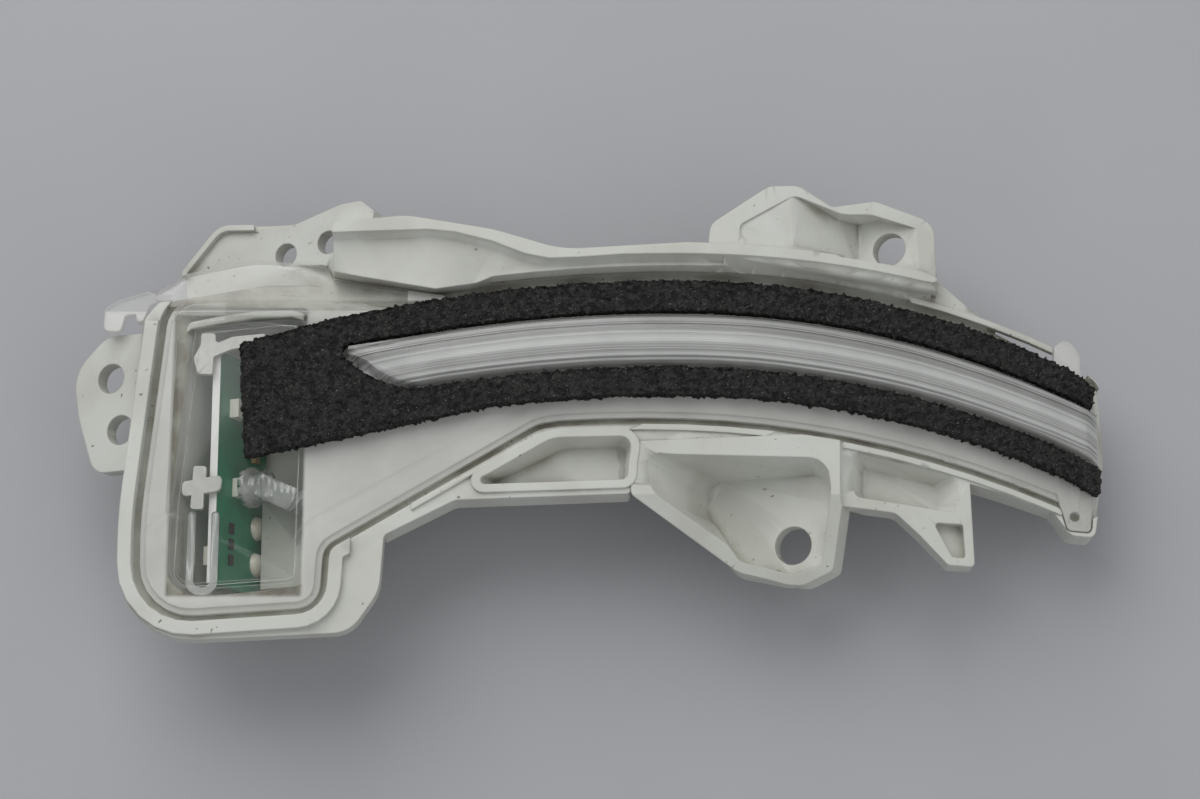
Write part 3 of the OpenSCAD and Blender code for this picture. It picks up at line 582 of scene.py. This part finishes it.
# Electronics by material slot: tone, roughness, shade of the patches, metallic, patch scale
partLooks = {
    "led": (colour(236, 234, 222), 0.4, 0.08, 0.0, 700),
    "chip": (colour(34, 34, 34), 0.4, 0.2, 0.0, 700),
    "capacitor": (colour(168, 142, 108), 0.45, 0.2, 0.0, 700),
    "diode": (colour(30, 30, 31), 0.5, 0.2, 0.0, 700),
    "terminal": (colour(196, 188, 160), 0.3, 0.16, 1.0, 400),
    # Solder: a bright tone on a nearly non-metallic finish, a painted sheen in place of the shine
    # of the metal
    "solder": (colour(242, 236, 220), 0.26, 0.16, 0.12, 500),
    "clip": (colour(204, 204, 198), 0.3, 0.12, 0.0, 500),
    "vent": (colour(60, 60, 60), 0.8, 0.2, 0.0, 900),
}
partSmoothAngle = 30


# Board: green mask on its faces, pale bare edge on the side that looks out of the lens
boardLook = {
    "mask": colour(30, 140, 100),
    "mottle": (300, 0.35, 0.7, 3),
    "mottleShade": 0.25,
    "bareEdge": colour(253, 253, 251),
    "lean": 24,  # degrees that the board leans to the left
    "edgeRange": (0.8, 0.9),
    "roughness": 0.35,
}


def boardMaterial(look):
    material, tree, shader = newMaterial("boardFinish")
    place = objectCoordinates(tree)
    geometry = addNode(tree, "NewGeometry")
    facing = addNode(tree, "VectorMath", operation="DOT_PRODUCT")
    tree.links.new(geometry.outputs["Normal"], facing.inputs[0])
    lean = math.radians(look["lean"])
    facing.inputs[1].default_value = (-math.sin(lean), 0, math.cos(lean))
    onEdge = remap(tree, facing.outputs["Value"], *look["edgeRange"])
    mottle = noiseMask(tree, place, *look["mottle"])
    mask = mixColour(tree, mottle, look["mask"], darker(look["mask"], look["mottleShade"]))
    base = mixColour(tree, onEdge, mask, look["bareEdge"])
    tree.links.new(base, shader.inputs["Base Color"])
    shader.inputs["Roughness"].default_value = look["roughness"]
    return material


# Pale ridge moulded along the lamp box's upper edge, seen through the window
ridgeLook = {
    "width": 1.5 * mm,
    "height": 1.3 * mm,
    "top": 24.4 * mm,
    "path": [
        (-76.8, 15.7), (-75.4, 17.2), (-70.6, 18.2), (-63.5, 19.3), (-56.6, 19.6), (-54.2, 18.8),
    ],
    "rounding": 0.35 * mm,
    "roundingSteps": 3,
    "smoothAngle": 40,
    "finish": (colour(205, 206, 198), 0.45, 0.12, 0.0, 500),
}


def ridgePiece(look):
    points = [(x * mm, y * mm) for x, y in look["path"]]
    startX, startY = points[0]
    bpy.ops.object.select_all(action="DESELECT")
    start = (startX, startY, look["top"])
    bpy.ops.mesh.primitive_plane_add(size=look["width"], location=start)
    ridge = bpy.context.active_object
    ridge.name = "windowRidge"
    bpy.ops.object.transform_apply(location=True)
    mesh = ridge.data
    for items in (mesh.polygons, mesh.edges, mesh.vertices):
        for item in items:
            item.select = False
    for vertex in mesh.vertices:
        vertex.select = vertex.co.x > startX
    for edge in mesh.edges:
        edge.select = all(mesh.vertices[i].select for i in edge.vertices)
    bpy.ops.object.mode_set(mode="EDIT")
    for (fromX, fromY), (toX, toY) in zip(points, points[1:]):
        step = (toX - fromX, toY - fromY, 0)
        bpy.ops.mesh.extrude_region_move(TRANSFORM_OT_translate={"value": step})
    bpy.ops.object.mode_set(mode="OBJECT")
    depth = ridge.modifiers.new("depth", "SOLIDIFY")
    depth.thickness = look["height"]
    depth.offset = -1
    bpy.ops.object.modifier_apply(modifier="depth")
    rounding = ridge.modifiers.new("rounding", "BEVEL")
    rounding.width = look["rounding"]
    rounding.segments = look["roundingSteps"]
    bpy.ops.object.modifier_apply(modifier="rounding")
    bpy.ops.object.shade_smooth_by_angle(angle=math.radians(look["smoothAngle"]))
    ridge.data.materials.append(plainPlastic("ridgePlastic", *look["finish"]))
    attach(ridge, "root")


housingFinish = housingPlastic(housingLook)
dressNode("housing", "housingShell", housingFinish, housingLook["smoothAngle"])
lensFinish = lensPlastic(lensLook)
dressNode("lens", "lensShell", lensFinish, lensLook["smoothAngle"])
ridgePiece(ridgeLook)
print("housing and lens dressed")
foamPiece(foamLook)
guideFinish = guidePlastic(guideLook)
for nodeName in ("light_guide", "collimator_bar", "side_light_guide"):
    dressNode(nodeName, nodeName + "Piece", guideFinish, guideLook["smoothAngle"])
dressNode("circuit_board", "circuitBoard", boardMaterial(boardLook), partSmoothAngle)
slotOf = {entry["node"]: entry["material_slot"] for entry in frame["record"]["subparts"]}
for slotName, look in partLooks.items():
    finish = plainPlastic(slotName + "Finish", *look)
    for nodeName, itsSlot in slotOf.items():
        if itsSlot == slotName:
            dressNode(nodeName, nodeName + "Piece", finish, partSmoothAngle)
print("electronics dressed")


# Floor, lights and camera
studio = {
    "floorSize": 5.0,
    "floorPlace": (0, 0, -0.2 * mm),
    "floorTone": (0.40, 0.40, 0.415, 1),
    "floorClouds": (14, 0.3, 0.75, 3),
    "floorShade": 0.06,
    "floorRoughness": 0.75,
    "worldColour": (0.95, 0.97, 1.0, 1),
    "worldStrength": 0.46,
    "lightAim": (0, 0, 0.02),
    "keyPower": 5.8,
    "keyPlace": (-0.3, 0.55, 0.75),
    "keySize": 0.85,
    "fillPower": 1.2,
    "fillPlace": (0.6, -0.3, 0.6),
    "fillSize": 0.8,
}
view = {
    "elevation": 76.0,
    "distance": 0.564,
    "target": (0.0019, 0.00227, 0.027),
    "lens": 91.4,
    "sensor": 36.0,
    "nearest": 0.01,
}


def makeFloor(settings):
    bpy.ops.object.select_all(action="DESELECT")
    bpy.ops.mesh.primitive_plane_add(size=settings["floorSize"], location=settings["floorPlace"])
    floor = bpy.context.active_object
    floor.name = "floor"
    bpy.ops.object.transform_apply(location=True)
    material, tree, shader = newMaterial("floorPaint")
    clouds = noiseMask(tree, objectCoordinates(tree), *settings["floorClouds"])
    tone = settings["floorTone"]
    base = mixColour(tree, clouds, tone, darker(tone, settings["floorShade"]))
    tree.links.new(base, shader.inputs["Base Color"])
    shader.inputs["Roughness"].default_value = settings["floorRoughness"]
    floor.data.materials.append(material)


def makeLight(name, power, place, size):
    bpy.ops.object.light_add(type="AREA", location=place)
    light = bpy.context.active_object
    light.name = name
    light.data.energy = power
    light.data.size = size
    aim = Vector(studio["lightAim"]) - Vector(place)
    light.rotation_euler = aim.to_track_quat("-Z", "Y").to_euler()


def makeCamera(settings):
    tilt = math.radians(settings["elevation"])
    back = Vector((0, -math.cos(tilt), math.sin(tilt)))
    place = Vector(settings["target"]) + back * settings["distance"]
    bpy.ops.object.camera_add(location=place)
    camera = bpy.context.active_object
    camera.rotation_euler = (math.radians(90) - tilt, 0, 0)
    camera.data.lens = settings["lens"]
    camera.data.sensor_width = settings["sensor"]
    camera.data.clip_start = settings["nearest"]
    bpy.context.scene.camera = camera


def makeRoom(settings):
    world = bpy.data.worlds.new("softRoom")
    bpy.context.scene.world = world
    world.use_nodes = True
    background = world.node_tree.nodes["Background"]
    background.inputs["Color"].default_value = settings["worldColour"]
    background.inputs["Strength"].default_value = settings["worldStrength"]


makeFloor(studio)
makeLight("keyLight", studio["keyPower"], studio["keyPlace"], studio["keySize"])
makeLight("fillLight", studio["fillPower"], studio["fillPlace"], studio["fillSize"])
makeCamera(view)
makeRoom(studio)
bpy.context.scene.view_settings.view_transform = "Standard"
print("stage ready")
